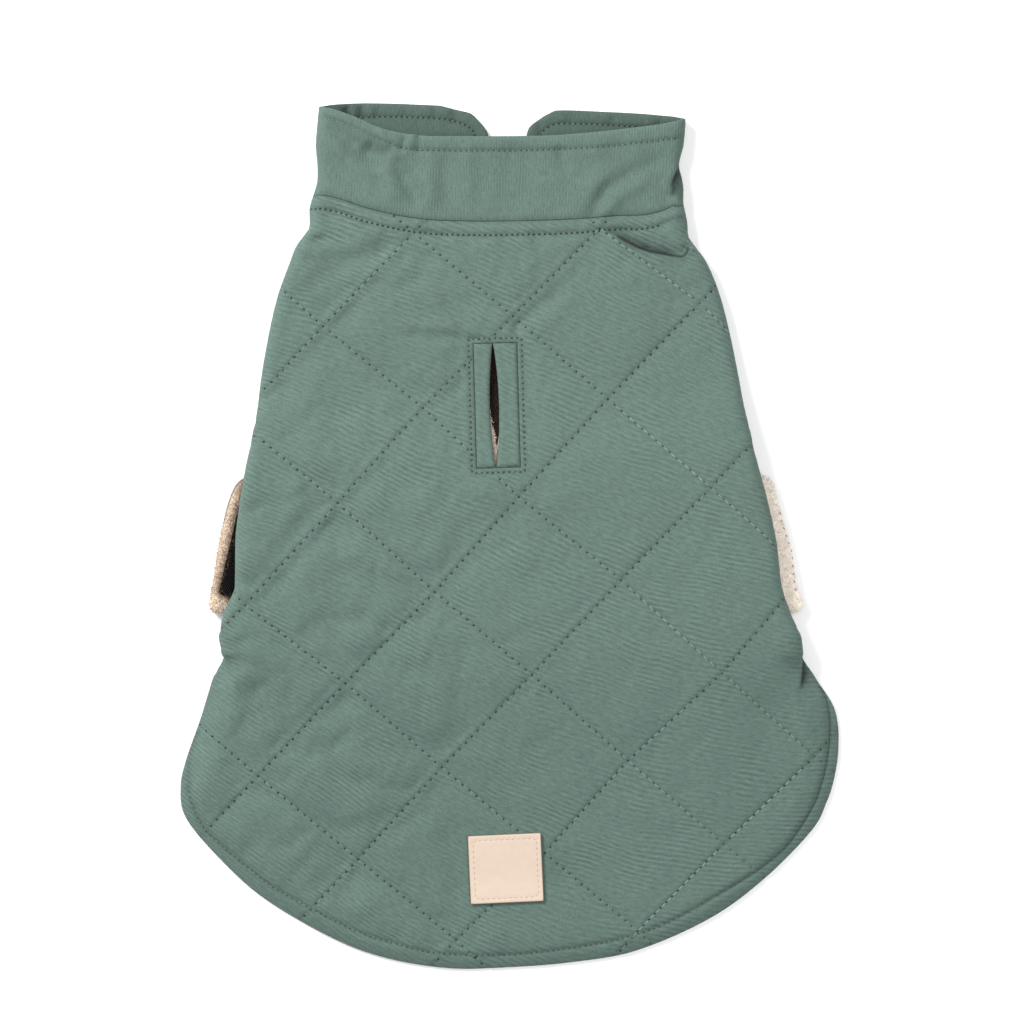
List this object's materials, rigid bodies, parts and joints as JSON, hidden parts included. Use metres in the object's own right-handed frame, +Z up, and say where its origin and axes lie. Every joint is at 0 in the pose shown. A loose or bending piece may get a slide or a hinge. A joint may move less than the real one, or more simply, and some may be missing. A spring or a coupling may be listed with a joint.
{
  "type": "dog winter coat",
  "caption": "Quilted winter coat for a small dog, laid flat with its back up: stand collar, leash slit, rounded skirt, fleece lining and belly straps crossed underneath.",
  "frame": {"origin": "on the surface that the coat lies on, under the middle of its box", "axes": "+Z up from the surface, out of the coat's back; +Y from the tail hem towards the collar; +X to the coat's right as seen from above"},
  "size_m": [0.29, 0.3814, 0.0181],
  "materials": {
    "quilted_shell": "matte woven cotton-like cloth, quilted with thread in its own colour",
    "fleece": "soft pile fleece, cream",
    "patch_leather": "smooth pale leather with a matte grain",
    "black_tape": "woven hook tape, black",
    "green_tape": "woven loop tape, in the cloth's colour"
  },
  "bodies": {
    "root": {"back_shell": "quilted_shell", "back_lining": "fleece", "left_wing_shell": "quilted_shell", "left_wing_lining": "fleece", "right_wing_shell": "quilted_shell", "right_wing_lining": "fleece", "left_chest_flap": "quilted_shell", "right_chest_flap": "quilted_shell", "collar": "quilted_shell", "slit_welt_left": "quilted_shell", "slit_welt_right": "quilted_shell", "leather_patch": "patch_leather", "hook_tape": "black_tape", "loop_tape": "green_tape"}
  },
  "joints": []
}
